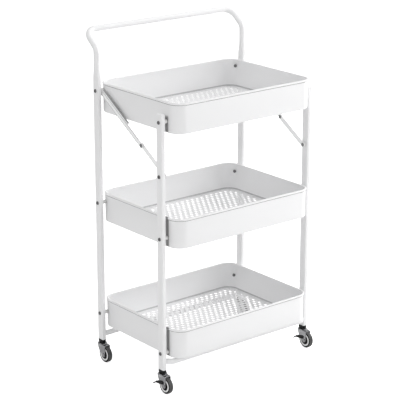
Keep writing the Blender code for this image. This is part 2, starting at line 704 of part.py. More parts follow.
def brake_lever(name, x, y, mat):
    """A pressed pedal with an ear on each side of the fork and a shoe just clear of the tyre."""
    axle_y, axle_z = y - TRAIL, WHEEL_RADIUS
    py, pz = BRAKE_PIVOT
    ear_in = FORK_INNER + FORK_PLATE + FIT
    ear_out = ear_in + BRAKE_PLATE
    # the shoe closes on the tyre by the lever's travel times its offset from the axle
    closing = math.radians(BRAKE_TRAVEL_DEG) * math.hypot(py, pz)
    shoe = WHEEL_RADIUS + FIT + closing
    ear = [
        (py - 0.0036, pz + 0.0006), (py - 0.0022, pz - 0.0032), (py + 0.004, pz - 0.0052),
        (shoe + 0.002, pz - 0.0062), (shoe + 0.005, pz - 0.0030), (shoe + 0.002, pz - 0.0006),
        (py + 0.006, pz + 0.0030), (py - 0.0006, pz + 0.0036),
    ]

    def world(a, b, h):
        return (x + h, axle_y + a, axle_z + b)
    bm = bmesh.new()
    extrude_outline(bm, ear, -ear_out, -ear_in, world)
    obj = new_object(name, bm, mat)
    other = bmesh.new()
    extrude_outline(other, ear, ear_in, ear_out, world)
    boolean(obj, cutter(name + "_ear", other), "UNION")
    web = bmesh.new()
    pedal = [
        (shoe, pz - 0.0058), (shoe + 0.0035, pz - 0.0066), (BRAKE_REACH - 0.003, pz - 0.0112),
        (BRAKE_REACH, pz - 0.0128), (BRAKE_REACH - 0.001, pz - 0.0104), (BRAKE_REACH - 0.006, pz - 0.0066),
        (shoe + 0.0048, pz - 0.0024), (shoe + 0.0004, pz - 0.0016),
    ]
    extrude_outline(web, pedal, -ear_out + 0.0001, ear_out - 0.0001, world)
    boolean(obj, cutter(name + "_pedal", web), "UNION")
    pin_length = FORK_PLATE + 2 * FIT
    for tag, low in (("a", -ear_in - 0.0004), ("b", ear_in - pin_length + 0.0004)):
        pin = bmesh.new()
        extrude_outline(
            pin, [(py + a, pz + b) for a, b in circle(0.0013, ROUND)], low, low + pin_length, world)
        boolean(obj, cutter(f"{name}_pin_{tag}", pin), "UNION")
    return obj


# ---------------------------------------------------------------- assembly

def build():
    clear_scene()
    white = material("white_powder_coat", (0.84, 0.84, 0.84), 0.38, 0.0)
    mesh_white = material("white_mesh", (0.82, 0.82, 0.82), 0.42, 0.0)
    screw = material("black_screw", (0.03, 0.03, 0.03), 0.45, 0.6)
    rivet = material("dark_rivet", (0.05, 0.05, 0.05), 0.40, 0.8)
    plastic = material("black_plastic", (0.02, 0.02, 0.02), 0.50, 0.0)
    chrome = material("chrome", (0.62, 0.62, 0.63), 0.18, 1.0)
    rubber = material("black_rubber", (0.015, 0.015, 0.015), 0.60, 0.0)

    rear = joint_empty("rear_frame", (0, 0, 0))
    hang(rear_frame_tube(white), rear)
    hang(rear_crossbar(white), rear)
    tray_hinges = {}
    for tier in RIM_Z:
        tray_hinges[tier] = joint_empty(tier + "_tray_hinge", (0, REAR_Y, REAR_PIVOT_Z[tier]), rear)
        hang(tray_shell(tier, white), tray_hinges[tier])
        hang(tray_floor(tier, mesh_white), tray_hinges[tier])
    front = joint_empty("front_frame_hinge", (0, FRONT_Y, FRONT_PIVOT_Z["top"]), tray_hinges["top"])
    hang(front_crossbar(white), front)

    upper_outer = UPPER_STAY_X + STAY_THICKNESS / 2 + FIT
    foot_outer = LOWER_STAY_X + STAY_THICKNESS / 2 + FIT / 2
    for name, side in SIDES.items():
        hang(front_post(name, white), front)
        for tier in RIM_Z:
            bolt_name = f"{tier}_rear_bolt_{name}"
            hang(pivot_bolt(bolt_name, side, REAR_Y, REAR_PIVOT_Z[tier], tier == "top", screw), rear)
            bolt_name = f"{tier}_front_bolt_{name}"
            hang(pivot_bolt(bolt_name, side, FRONT_Y, FRONT_PIVOT_Z[tier], False, screw), front)
        hang(stay_foot_screw(name, screw), front)
        head = (REAR_Y, REAR_PIVOT_Z["top"])
        elbow = (ELBOW_Y, ELBOW_Z)
        foot = (FRONT_Y, STAY_FOOT_Z)
        upper = joint_empty("stay_upper_hinge_" + name, (side * UPPER_STAY_X, *head), rear)
        lower = joint_empty("stay_foot_hinge_" + name, (side * LOWER_STAY_X, *foot), front)
        rivet_hole = RIVET_RADIUS + RUNNING
        hang(stay_link("stay_upper_" + name, side, UPPER_STAY_X, head, elbow,
                       SHANK_RADIUS + RUNNING, rivet_hole, white), upper)
        hang(stay_link("stay_lower_" + name, side, LOWER_STAY_X, elbow, foot,
                       None, rivet_hole, white), lower)
        hang(stay_elbow_rivet("stay_elbow_rivet_" + name, side, *elbow, upper_outer, rivet), upper)
        hang(stay_foot_rivet("stay_foot_rivet_" + name, side, *foot, foot_outer, rivet), lower)

    for end, y in SWIVEL_Y.items():
        carrier = front if end == "front" else rear
        for name, side in SIDES.items():
            tag = f"{end}_{name}"
            x = side * POST_X
            hang(castor_plug("castor_plug_" + tag, x, y, plastic), carrier)
            hang(castor_stem("castor_stem_" + tag, x, y, chrome), carrier)
            swivel = joint_empty("castor_swivel_" + tag, (x, y, WHEEL_RADIUS), carrier)
            hang(castor_fork("castor_fork_" + tag, x, y, end == "front", chrome), swivel)
            hang(castor_axle("castor_axle_" + tag, x, y, chrome), swivel)
            spin = joint_empty("castor_spin_" + tag, (x, y - TRAIL, WHEEL_RADIUS), swivel)
            hang(castor_hub("castor_hub_" + tag, x, y, plastic), spin)
            hang(castor_tyre("castor_tyre_" + tag, x, y, rubber), spin)
            if end == "front":
                pin = (x, y - TRAIL + BRAKE_PIVOT[0], WHEEL_RADIUS + BRAKE_PIVOT[1])
                brake = joint_empty("brake_hinge_" + tag, pin, swivel)
                hang(brake_lever("brake_lever_" + tag, x, y, plastic), brake)


build()
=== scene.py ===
"""A foldable spa trolley cart: three open trays with mesh floors between a bent rear frame with a push
handle and an upright front frame, two folding stays and four swivel castors."""

import json
import math

import bmesh
import bpy
from mathutils import Matrix, Vector


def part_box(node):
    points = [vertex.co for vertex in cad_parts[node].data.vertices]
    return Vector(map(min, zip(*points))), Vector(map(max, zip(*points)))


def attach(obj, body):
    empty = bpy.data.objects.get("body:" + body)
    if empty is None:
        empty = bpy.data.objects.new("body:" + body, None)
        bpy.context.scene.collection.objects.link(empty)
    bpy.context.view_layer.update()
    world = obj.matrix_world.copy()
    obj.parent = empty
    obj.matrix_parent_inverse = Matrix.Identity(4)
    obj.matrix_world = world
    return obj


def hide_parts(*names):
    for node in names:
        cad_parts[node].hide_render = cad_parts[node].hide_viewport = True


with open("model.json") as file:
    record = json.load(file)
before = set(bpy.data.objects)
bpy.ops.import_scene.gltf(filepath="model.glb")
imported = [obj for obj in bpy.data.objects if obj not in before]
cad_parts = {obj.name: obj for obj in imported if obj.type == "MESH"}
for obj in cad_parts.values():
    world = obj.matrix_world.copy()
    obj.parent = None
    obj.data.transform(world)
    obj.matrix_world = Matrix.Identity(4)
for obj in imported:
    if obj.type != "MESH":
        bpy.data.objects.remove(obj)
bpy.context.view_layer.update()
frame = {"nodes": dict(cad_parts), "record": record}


# --- Camera, floor and studio light -------------------------------------------------------------
# A long lens looks down on the left front corner of the cart, which stands on a white sheet between
# a broad soft light in front and weaker ones at the sides.

def corners(node):
    low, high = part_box(node)
    return Vector(low), Vector(high)


mid_low, mid_high = corners("middle_tray_shell")
camera_aim = Vector((-0.01716, (mid_low.y + mid_high.y) / 2, mid_high.z - 0.0230))
camera_turn, camera_rise, camera_distance = math.radians(-39.057), math.radians(17.407), 3.638
camera_data = bpy.data.cameras.new("studio_camera")
camera_data.lens = 140.9
camera_data.sensor_width = 36.0
camera_data.clip_end = 100
camera = bpy.data.objects.new("studio_camera", camera_data)
camera.location = camera_aim + camera_distance * Vector((
    math.sin(camera_turn) * math.cos(camera_rise),
    -math.cos(camera_turn) * math.cos(camera_rise),
    math.sin(camera_rise)))
camera.rotation_euler = (camera_aim - camera.location).to_track_quat("-Z", "Y").to_euler()
bpy.context.scene.collection.objects.link(camera)
bpy.context.scene.camera = camera
bpy.context.scene.view_settings.view_transform = "Standard"

world = bpy.data.worlds.new("studio_world")
world.use_nodes = True
world.node_tree.nodes["Background"].inputs["Color"].default_value = (1.0, 1.0, 1.0, 1)
world.node_tree.nodes["Background"].inputs["Strength"].default_value = 0.58
bpy.context.scene.world = world


def soft_light(name, at, aim, size, power):
    data = bpy.data.lights.new(name, "AREA")
    data.shape = "DISK"
    data.size = size
    data.energy = power
    lamp = bpy.data.objects.new(name, data)
    lamp.location = at
    lamp.rotation_euler = (Vector(aim) - Vector(at)).to_track_quat("-Z", "Y").to_euler()
    bpy.context.scene.collection.objects.link(lamp)


soft_light("front_light", (0.9, -3.2, 1.9), (0, 0, 0.4), 1.6, 24)
soft_light("left_light", (-3.0, -0.3, 1.4), (0, 0, 0.4), 1.6, 12)
soft_light("right_light", (3.0, -0.6, 1.4), (0, 0, 0.4), 1.6, 70)
soft_light("top_light", (0.2, 0.2, 3.2), (0, 0, 0.4), 1.6, 16)

floor_mesh = bpy.data.meshes.new("studio_floor")
floor_mesh.from_pydata([(-30, -30, 0), (30, -30, 0), (30, 30, 0), (-30, 30, 0)], [], [(0, 1, 2, 3)])
studio_floor = bpy.data.objects.new("studio_floor", floor_mesh)
bpy.context.scene.collection.objects.link(studio_floor)
paper = bpy.data.materials.new("white_paper")
paper.use_nodes = True
paper_shader = paper.node_tree.nodes["Principled BSDF"]
paper_shader.inputs["Base Color"].default_value = (0.90, 0.90, 0.90, 1)
paper_shader.inputs["Roughness"].default_value = 0.9
paper_shader.inputs["Specular IOR Level"].default_value = 0.0
paper_shader.inputs["Emission Color"].default_value = (1, 1, 1, 1)
seen = paper.node_tree.nodes.new("ShaderNodeLightPath")
lift = paper.node_tree.nodes.new("ShaderNodeMath")
lift.operation = "MULTIPLY"
lift.inputs[1].default_value = 0.75
paper.node_tree.links.new(seen.outputs["Is Camera Ray"], lift.inputs[0])
paper.node_tree.links.new(lift.outputs["Value"], paper_shader.inputs["Emission Strength"])
floor_mesh.materials.append(paper)


# --- Surface effects shared by the finishes -----------------------------------------------------
# Powder coat, moulded plastic and rubber all have a fine skin texture and a slow change of gloss.
# One group makes them and each finish sets its own values.

def skin_group():
    group = bpy.data.node_groups.new("fine_skin", "ShaderNodeTree")
    face = group.interface
    for name, kind, value in (
            ("Colour", "NodeSocketColor", (0.8, 0.8, 0.8, 1)),
            ("Second Colour", "NodeSocketColor", (0.7, 0.7, 0.7, 1)),
            ("Grain Scale", "NodeSocketFloat", 600.0), ("Patch Scale", "NodeSocketFloat", 30.0),
            ("Gloss Low", "NodeSocketFloat", 0.3), ("Gloss High", "NodeSocketFloat", 0.5),
            ("Wear Amount", "NodeSocketFloat", 0.2)):
        socket = face.new_socket(name, in_out="INPUT", socket_type=kind)
        socket.default_value = value
    for name, kind in (
            ("Colour", "NodeSocketColor"), ("Roughness", "NodeSocketFloat"), ("Height", "NodeSocketFloat")):
        face.new_socket(name, in_out="OUTPUT", socket_type=kind)
    nodes, links = group.nodes, group.links
    given = nodes.new("NodeGroupInput")
    out = nodes.new("NodeGroupOutput")
    place = nodes.new("ShaderNodeTexCoord")
    grain = nodes.new("ShaderNodeTexNoise")
    grain.inputs["Detail"].default_value = 3.0
    grain.inputs["Roughness"].default_value = 0.55
    links.new(place.outputs["Object"], grain.inputs["Vector"])
    links.new(given.outputs["Grain Scale"], grain.inputs["Scale"])
    links.new(grain.outputs["Fac"], out.inputs["Height"])
    patch = nodes.new("ShaderNodeTexNoise")
    patch.inputs["Detail"].default_value = 4.0
    links.new(place.outputs["Object"], patch.inputs["Vector"])
    links.new(given.outputs["Patch Scale"], patch.inputs["Scale"])
    gloss = nodes.new("ShaderNodeMapRange")
    gloss.inputs["From Min"].default_value = 0.3
    gloss.inputs["From Max"].default_value = 0.7
    links.new(patch.outputs["Fac"], gloss.inputs["Value"])
    links.new(given.outputs["Gloss Low"], gloss.inputs["To Min"])
    links.new(given.outputs["Gloss High"], gloss.inputs["To Max"])
    links.new(gloss.outputs["Result"], out.inputs["Roughness"])
    # handling marks: a sparse speckle from the fine grain, stronger inside the duller patches
    speck = nodes.new("ShaderNodeMapRange")
    speck.inputs["From Min"].default_value = 0.58
    speck.inputs["From Max"].default_value = 0.80
    links.new(grain.outputs["Fac"], speck.inputs["Value"])
    amount = nodes.new("ShaderNodeMath")
    amount.operation = "MULTIPLY"
    links.new(speck.outputs["Result"], amount.inputs[0])
    links.new(patch.outputs["Fac"], amount.inputs[1])
    wear = nodes.new("ShaderNodeMath")
    wear.operation = "MULTIPLY"
    links.new(amount.outputs["Value"], wear.inputs[0])
    links.new(given.outputs["Wear Amount"], wear.inputs[1])
    mix = nodes.new("ShaderNodeMix")
    mix.data_type = "RGBA"
    links.new(wear.outputs["Value"], mix.inputs["Factor"])
    links.new(given.outputs["Colour"], mix.inputs["A"])
    links.new(given.outputs["Second Colour"], mix.inputs["B"])
    links.new(mix.outputs["Result"], out.inputs["Colour"])
    return group


fine_skin = skin_group()


def finish(name, colour, second, grain, patch, gloss, wear, bump, metallic=0.0, coat=0.0, specular=0.5):
    """A material made of the fine skin group, a bump and one Principled shader."""
    mat = bpy.data.materials.new(name)
    mat.use_nodes = True
    nodes, links = mat.node_tree.nodes, mat.node_tree.links
    shader = nodes["Principled BSDF"]
    skin = nodes.new("ShaderNodeGroup")
    skin.node_tree = fine_skin
    skin.inputs["Colour"].default_value = (*colour, 1)
    skin.inputs["Second Colour"].default_value = (*second, 1)
    skin.inputs["Grain Scale"].default_value = grain
    skin.inputs["Patch Scale"].default_value = patch
    skin.inputs["Gloss Low"].default_value = gloss[0]
    skin.inputs["Gloss High"].default_value = gloss[1]
    skin.inputs["Wear Amount"].default_value = wear
    relief = nodes.new("ShaderNodeBump")
    relief.inputs["Strength"].default_value = bump[0]
    relief.inputs["Distance"].default_value = bump[1]
    links.new(skin.outputs["Height"], relief.inputs["Height"])
    links.new(relief.outputs["Normal"], shader.inputs["Normal"])
    links.new(skin.outputs["Colour"], shader.inputs["Base Color"])
    links.new(skin.outputs["Roughness"], shader.inputs["Roughness"])
    shader.inputs["Metallic"].default_value = metallic
    shader.inputs["Specular IOR Level"].default_value = specular
    shader.inputs["Coat Weight"].default_value = coat
    shader.inputs["Coat Roughness"].default_value = 0.12
    return mat


# --- Tray shells --------------------------------------------------------------------------------
# Each pan is drawn from 1.2 mm sheet steel, its top edge rolled outwards into a round bead and its
# bottom edge turned in to a narrow ledge. It is powder coated satin white.

powder_white = finish(
    "white_powder_coat", (0.86, 0.86, 0.865), (0.80, 0.80, 0.81), 850, 22, (0.30, 0.42), 0.35, (0.10, 0.0004))
SHEET = 0.0012
BEAD = 0.0025
PAN_CORNER = 0.030
LEDGE = 0.012


# painted shade: a dark line under the bead, where shade falls in the crease; the upper stays use it for their
# dark pressed lines and edges too
painted_crease_shade = finish(
    "bead_crevice_coat", (0.34, 0.34, 0.345), (0.22, 0.22, 0.22), 700, 40, (0.50, 0.62), 0.5, (0.10, 0.0003))


# painted shade: a grey band round the foot of the inner wall, where it meets the mesh floor
floor_painted_shade = finish(
    "pan_floor_seam", (0.52, 0.52, 0.525), (0.40, 0.40, 0.40), 700, 40, (0.50, 0.62), 0.5, (0.10, 0.0003))


def rounded_loop(half_x, half_y, radius, steps):
    """A rounded rectangle's points, counter-clockwise."""
    points = []
    for corner, (sx, sy) in enumerate(((1, 1), (-1, 1), (-1, -1), (1, -1))):
        for i in range(steps + 1):
            turn = math.pi / 2 * (corner + i / steps)
            points.append((
                sx * (half_x - radius) + radius * math.cos(turn),
                sy * (half_y - radius) + radius * math.sin(turn)))
    return points


def skin_rings(bm, rings, loop=False, ends=(False, False)):
    """Quads between equal rings of points, with flat ends where asked."""
    rows = [[bm.verts.new(p) for p in ring] for ring in rings]
    pairs = list(zip(rows, rows[1:])) + ([(rows[-1], rows[0])] if loop else [])
    for a, b in pairs:
        for i in range(len(a)):
            j = (i + 1) % len(a)
            bm.faces.new((a[i], a[j], b[j], b[i]))
    if ends[0]:
        bm.faces.new(list(reversed(rows[0])))
    if ends[1]:
        bm.faces.new(rows[-1])


def finish_piece(name, bm, mats, body, sharp=40, nodes=(), bevel=0.0):
    """A smooth-shaded piece that rides on a body and may stand for CAD nodes."""
    bmesh.ops.remove_doubles(bm, verts=bm.verts, dist=1e-6)
    bmesh.ops.recalc_face_normals(bm, faces=bm.faces)
    mesh = bpy.data.meshes.new(name)
    bm.to_mesh(mesh)
    bm.free()
    for mat in mats:
        mesh.materials.append(mat)
    mesh.shade_smooth()
    mesh.set_sharp_from_angle(angle=math.radians(sharp))
    piece = bpy.data.objects.new(name, mesh)
    bpy.context.scene.collection.objects.link(piece)
    if bevel:
        soft = piece.modifiers.new("soft_edges", "BEVEL")
        soft.width = bevel
        soft.segments = 2
        soft.limit_method = "ANGLE"
        soft.angle_limit = math.radians(sharp)
    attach(piece, body)
    if nodes:
        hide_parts(*nodes)
    return piece


def pan_profile(height):
    """Offset from the wall and height, once round the sheet's section, and the slot of each band of painted
    shade.
    """
    fold = 0.0035
    bead_centre = height - BEAD
    section = [(-LEDGE, 0.0), (-fold, 0.0)]
    for k in range(1, 6):
        turn = math.radians(-90 + 18 * k)
        section.append((-fold + fold * math.cos(turn), fold + fold * math.sin(turn)))
    # slot 1 paints shade under the bead
    painted_shade_bands = {len(section): 1, len(section) + 1: 1}
    section.append((0.0, bead_centre - BEAD * 1.40))
    section.append((-SHEET * 0.25, bead_centre - BEAD * 1.22))
    for k in range(13):
        turn = math.radians(-80 + 20.4 * k)
        section.append((-SHEET / 2 + BEAD * math.cos(turn), bead_centre + BEAD * math.sin(turn)))
    section.append((-SHEET, bead_centre - BEAD * 0.9))
    # slot 2 paints shade round the foot of the inner wall
    painted_shade_bands |= {len(section): 2, len(section) + 1: 2}
    section += [(-SHEET, fold + 0.0024), (-SHEET, fold), (-fold, SHEET), (-LEDGE, SHEET)]
    return section, painted_shade_bands


def paint_shade_behind_posts(mat, wall, post_at, post_top):
    """Paints shade on the outer side wall in the narrow gap behind each front post, standing in for the
    post's shadow.
    """
    nodes, links = mat.node_tree.nodes, mat.node_tree.links
    shader = nodes["Principled BSDF"]
    coat = shader.inputs["Base Color"].links[0].from_socket
    place = nodes.new("ShaderNodeTexCoord")
    split = nodes.new("ShaderNodeSeparateXYZ")
    links.new(place.outputs["Object"], split.inputs["Vector"])

    def band(value, low, high, to_low, to_high):
        ramp = nodes.new("ShaderNodeMapRange")
        ramp.interpolation_type = "SMOOTHSTEP"
        ramp.inputs["From Min"].default_value = low
        ramp.inputs["From Max"].default_value = high
        ramp.inputs["To Min"].default_value = to_low
        ramp.inputs["To Max"].default_value = to_high
        links.new(value, ramp.inputs["Value"])
        return ramp.outputs["Result"]

    def math_node(operation, a, b=None):
        node = nodes.new("ShaderNodeMath")
        node.operation = operation
        links.new(a, node.inputs[0])
        if isinstance(b, float):
            node.inputs[1].default_value = b
        elif b is not None:
            links.new(b, node.inputs[1])
        return node.outputs["Value"]
    across = math_node("ABSOLUTE", split.outputs["X"])
    along = math_node("ABSOLUTE", math_node("SUBTRACT", split.outputs["Y"], float(post_at)))
    below_top = band(split.outputs["Z"], post_top - 0.010, post_top - 0.003, 1.0, 0.0)
    on_wall = band(across, wall - 0.0009, wall - 0.0003, 0.0, 1.0)
    near_post = band(along, 0.0035, 0.0070, 0.80, 0.0)
    painted_shade_mask = math_node("MULTIPLY", math_node("MULTIPLY", on_wall, near_post), below_top)
    mix = nodes.new("ShaderNodeMix")
    mix.data_type = "RGBA"
    links.new(painted_shade_mask, mix.inputs["Factor"])
    links.new(coat, mix.inputs["A"])
    # the dark colour of the painted shade
    mix.inputs["B"].default_value = (0.10, 0.10, 0.102, 1)
    links.new(mix.outputs["Result"], shader.inputs["Base Color"])


# the pans' coat, with painted shade on the side wall behind each front post
pan_coat_with_painted_shade = finish(
    "pan_powder_coat", (0.86, 0.86, 0.865), (0.80, 0.80, 0.81), 850, 22, (0.30, 0.42), 0.35, (0.10, 0.0004))
pan_half = (mid_high.x - mid_low.x) / 2 - (BEAD - SHEET / 2)
front_post_box = corners("front_post_left")
paint_shade_behind_posts(pan_coat_with_painted_shade, pan_half, (front_post_box[0].y + front_post_box[1].y) / 2, front_post_box[1].z)

for tier in ("top", "middle", "bottom"):
    low, high = corners(tier + "_tray_shell")
    middle = (low + high) / 2
    wall_x = (high.x - low.x) / 2 - (BEAD - SHEET / 2)
    wall_y = (high.y - low.y) / 2 - (BEAD - SHEET / 2)
    section, painted_shade_bands = pan_profile(high.z - low.z)
    bm = bmesh.new()
    skin_rings(bm, [
        [(middle.x + x, middle.y + y, low.z + z)
         for x, y in rounded_loop(wall_x + offset, wall_y + offset, PAN_CORNER + offset, 12)]
        for offset, z in section], loop=True)
    per_band = len(bm.faces) // len(section)
    for k, face in enumerate(bm.faces):
        face.material_index = painted_shade_bands.get(k // per_band, 0)
    finish_piece(tier + "_pan", bm, [pan_coat_with_painted_shade, painted_crease_shade, floor_painted_shade], tier + "_tray", sharp=50,
                 nodes=[tier + "_tray_shell"])


# --- Mesh floors --------------------------------------------------------------------------------
# A sheet punched with staggered rows of round holes lies on each pan's ledge. The same white coat
# goes over it.

mesh_white = finish(
    "white_mesh_coat", (0.85, 0.85, 0.855), (0.76, 0.76, 0.77), 900, 30, (0.36, 0.48), 0.45, (0.12, 0.0004))
HOLE_PITCH = 0.0150
ROW_PITCH = 0.0114
HOLE_HALF = (0.0041, 0.0041)
HOLE_SIDES = 12
CELL_CORNERS = (1, 5, 7, 11)   # the spokes that run to a cell's corners
FAR = 9.0


def punched_sheet(bm, middle, half_x, half_y, corner, z):
    """The top face of the sheet: a brick pattern of holed cells inside a plain border."""
    columns = int((half_x - 0.008) * 2 / HOLE_PITCH)
    rows = int((half_y - 0.011) * 2 / ROW_PITCH)
    grid_x, grid_y = columns * HOLE_PITCH / 2, rows * ROW_PITCH / 2

    def vert(x, y):
        return bm.verts.new((middle.x + x, middle.y + y, z))

    def plain(x0, x1, y0, y1):
        bm.faces.new([vert(x0, y0), vert(x1, y0), vert(x1, y1), vert(x0, y1)])
    for row in range(rows):
        cy = -grid_y + ROW_PITCH * (row + 0.5)
        shift = (row % 2) * HOLE_PITCH / 2
        count = columns - (row % 2)
        y0, y1 = cy - ROW_PITCH / 2, cy + ROW_PITCH / 2
        if row % 2:
            plain(-grid_x, -grid_x + shift, y0, y1)
            plain(grid_x - shift, grid_x, y0, y1)
        for column in range(count):
            cx = -grid_x + shift + HOLE_PITCH * (column + 0.5)
            ring, frame_ring = [], []
            for k in range(HOLE_SIDES):
                turn = 2 * math.pi * k / HOLE_SIDES
                c, s = math.cos(turn), math.sin(turn)
                ring.append(vert(cx + HOLE_HALF[0] * c, cy + HOLE_HALF[1] * s))
                reach = min(
                    HOLE_PITCH / 2 / abs(c) if abs(c) > 1e-6 else FAR,
                    ROW_PITCH / 2 / abs(s) if abs(s) > 1e-6 else FAR)
                if k in CELL_CORNERS:
                    point = (math.copysign(HOLE_PITCH / 2, c), math.copysign(ROW_PITCH / 2, s))
                else:
                    point = (reach * c, reach * s)
                frame_ring.append(vert(cx + point[0], cy + point[1]))
            for k in range(HOLE_SIDES):
                j = (k + 1) % HOLE_SIDES
                bm.faces.new((ring[k], frame_ring[k], frame_ring[j], ring[j]))
    outline = [vert(x, y) for x, y in rounded_loop(half_x, half_y, corner, 8)]
    inner = [vert(x * grid_x, y * grid_y) for x, y in ((-1, -1), (1, -1), (1, 1), (-1, 1))]
    edges = [bm.edges.new((loop[i], loop[(i + 1) % len(loop)]))
             for loop in (outline, inner) for i in range(len(loop))]
    bmesh.ops.triangle_fill(bm, use_beauty=True, use_dissolve=False, edges=edges)


for tier in ("top", "middle", "bottom"):
    low, high = corners(tier + "_tray_floor")
    middle = (low + high) / 2
    bm = bmesh.new()
    punched_sheet(
        bm, middle, (high.x - low.x) / 2, (high.y - low.y) / 2, PAN_CORNER - SHEET - 0.0003, high.z)
    for face in bm.faces:
        face.normal_update()
        if face.normal.z < 0:
            face.normal_flip()
    bmesh.ops.remove_doubles(bm, verts=bm.verts, dist=1e-5)
    mesh = bpy.data.meshes.new(tier + "_mesh_floor")
    bm.to_mesh(mesh)
    bm.free()
    mesh.materials.append(mesh_white)
    piece = bpy.data.objects.new(tier + "_mesh_floor", mesh)
    bpy.context.scene.collection.objects.link(piece)
    sheet_depth = piece.modifiers.new("sheet_depth", "SOLIDIFY")
    sheet_depth.thickness = high.z - low.z
    sheet_depth.offset = -1.0
    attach(piece, tier + "_tray")
    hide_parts(tier + "_tray_floor")


# --- Rear posts and push handle -----------------------------------------------------------------
# One steel tube, round along the handle and pressed flat down the posts, bent twice at each side.
# It has the trays' white powder coat.

TUBE = 0.007
POST_ROUND = 0.0022
tube_low, tube_high = corners("rear_frame_tube")
post_low, post_high = corners("front_post_right")
post_x = (post_low.x + post_high.x) / 2
post_half = ((post_high.x - post_low.x) / 2, (post_high.y - post_low.y) / 2)
rear_y = (corners("rear_crossbar")[0].y + corners("rear_crossbar")[1].y) / 2
front_y = (post_low.y + post_high.y) / 2


def bend_path(points, radii, steps):
    """A line of points with arcs in place of its inner corners."""
    path = [Vector(points[0])]
    for i in range(1, len(points) - 1):
        here = Vector(points[i])
        d0 = (Vector(points[i - 1]) - here).normalized()
        d1 = (Vector(points[i + 1]) - here).normalized()
        half = d0.angle(d1) / 2
        centre = here + (d0 + d1).normalized() * (radii[i - 1] / math.sin(half))
        start = here + d0 * (radii[i - 1] / math.tan(half)) - centre
        end = here + d1 * (radii[i - 1] / math.tan(half)) - centre
        normal = start.cross(end).normalized()
        turn = start.angle(end)
        path += [centre + Matrix.Rotation(turn * k / steps, 3, normal) @ start for k in range(steps + 1)]
    path.append(Vector(points[-1]))
    return path


def sweep(bm, path, first_across, section_at, ends=(True, True)):
    """A section carried along a path without twisting."""
    across = Vector(first_across)
    rings = []
    for i, point in enumerate(path):
        before, after = path[max(i - 1, 0)], path[min(i + 1, len(path) - 1)]
        tangent = ((point - before).normalized() + (after - point).normalized()).normalized()
        across = (across - tangent * across.dot(tangent)).normalized()
        up = tangent.cross(across)
        rings.append([point + across * a + up * b for a, b in section_at(point)])
    skin_rings(bm, rings, ends=ends)


def post_section(roundness):
    flat = rounded_loop(post_half[0], post_half[1], POST_ROUND, 7)
    count = len(flat)
    section = []
    for k, (x, y) in enumerate(flat):
        turn = 2 * math.pi * (k + 0.5) / count
        section.append((
            x * (1 - roundness) + TUBE * math.cos(turn) * roundness,
            y * (1 - roundness) + TUBE * math.sin(turn) * roundness))
    return section


def handle_roundness(point):
    share = min(1.0, max(0.0, (point.z - 0.683) / 0.030))
    return share * share * (3 - 2 * share)


bar_y, bar_z = tube_high.y - TUBE, tube_high.z - TUBE
bend_z = bar_z - 0.036
leg = [(rear_y, tube_low.z), (rear_y, 0.683)] + [(rear_y, 0.683 + 0.005 * k) for k in range(1, 7)]
path = [Vector((-post_x, y, z)) for y, z in leg]
path += bend_path(
    [(-post_x, rear_y, 0.716), (-post_x, rear_y, bend_z), (-post_x, bar_y, bar_z),
     (post_x, bar_y, bar_z), (post_x, rear_y, bend_z), (post_x, rear_y, 0.716)],
    [0.022, 0.027, 0.027, 0.022], 12)
path += [Vector((post_x, y, z)) for y, z in reversed(leg)]
bm = bmesh.new()
sweep(bm, path, (1, 0, 0), lambda p: post_section(handle_roundness(p)))
finish_piece("push_handle_tube", bm, [powder_white], "rear_frame", sharp=60,
             nodes=["rear_frame_tube"])


# --- Front posts and crossbars ------------------------------------------------------------------
# The front posts are the same flattened tube, closed by a rounded end. Round bars are welded across
# near the feet: straight at the back, and bowed forwards at the front to clear the folding tray.

POST_TOP_STEPS = 6
for side_name, side in (("left", -1), ("right", 1)):
    low, high = corners("front_post_" + side_name)
    bm = bmesh.new()
    rings = []
    levels = [(low.z, 1.0)]
    for k in range(POST_TOP_STEPS + 1):
        turn = math.pi / 2 * k / POST_TOP_STEPS
        levels.append((high.z - 0.005 * (1 - math.sin(turn)), 1 - 0.30 * (1 - math.cos(turn))))
    for z, share in levels:
        rings.append([
            (side * post_x + x * share, front_y + y * share, z) for x, y in post_section(0.0)])
    skin_rings(bm, rings, ends=(True, True))
    finish_piece("front_upright_" + side_name, bm, [powder_white], "front_frame", sharp=60,
                 nodes=["front_post_" + side_name])


def disc(radius, sides):
    turns = [2 * math.pi * k / sides for k in range(sides)]
    return [(radius * math.cos(turn), radius * math.sin(turn)) for turn in turns]


low, high = corners("rear_crossbar")
bar = (high.z - low.z) / 2 + 0.0002
bm = bmesh.new()
bar_mid = (low.z + high.z) / 2
sweep(bm, [Vector((x, rear_y, bar_mid)) for x in (low.x, 0, high.x)], (0, 0, 1), lambda p: disc(bar, 28))
finish_piece("rear_bar", bm, [powder_white], "rear_frame", nodes=["rear_crossbar"])

low, high = corners("front_crossbar")
bar_mid = (low.z + high.z) / 2
lead_y = low.y + bar
end_y = front_y - 0.003
bm = bmesh.new()
sweep(bm, bend_path(
    [(low.x, end_y, bar_mid), (low.x + 0.003, end_y, bar_mid), (low.x + 0.014, lead_y, bar_mid),
     (high.x - 0.014, lead_y, bar_mid), (high.x - 0.003, end_y, bar_mid), (high.x, end_y, bar_mid)],
    [0.003, 0.010, 0.010, 0.003], 8), (0, 0, 1), lambda p: disc(bar, 28))
finish_piece("front_bar", bm, [powder_white], "front_frame", nodes=["front_crossbar"])


# --- Pivot bolts and their bushes ---------------------------------------------------------------
# Blackened socket-head bolts go through each post and tray wall, with a white plastic bush between
# the two and a low dome nut inside the tray.

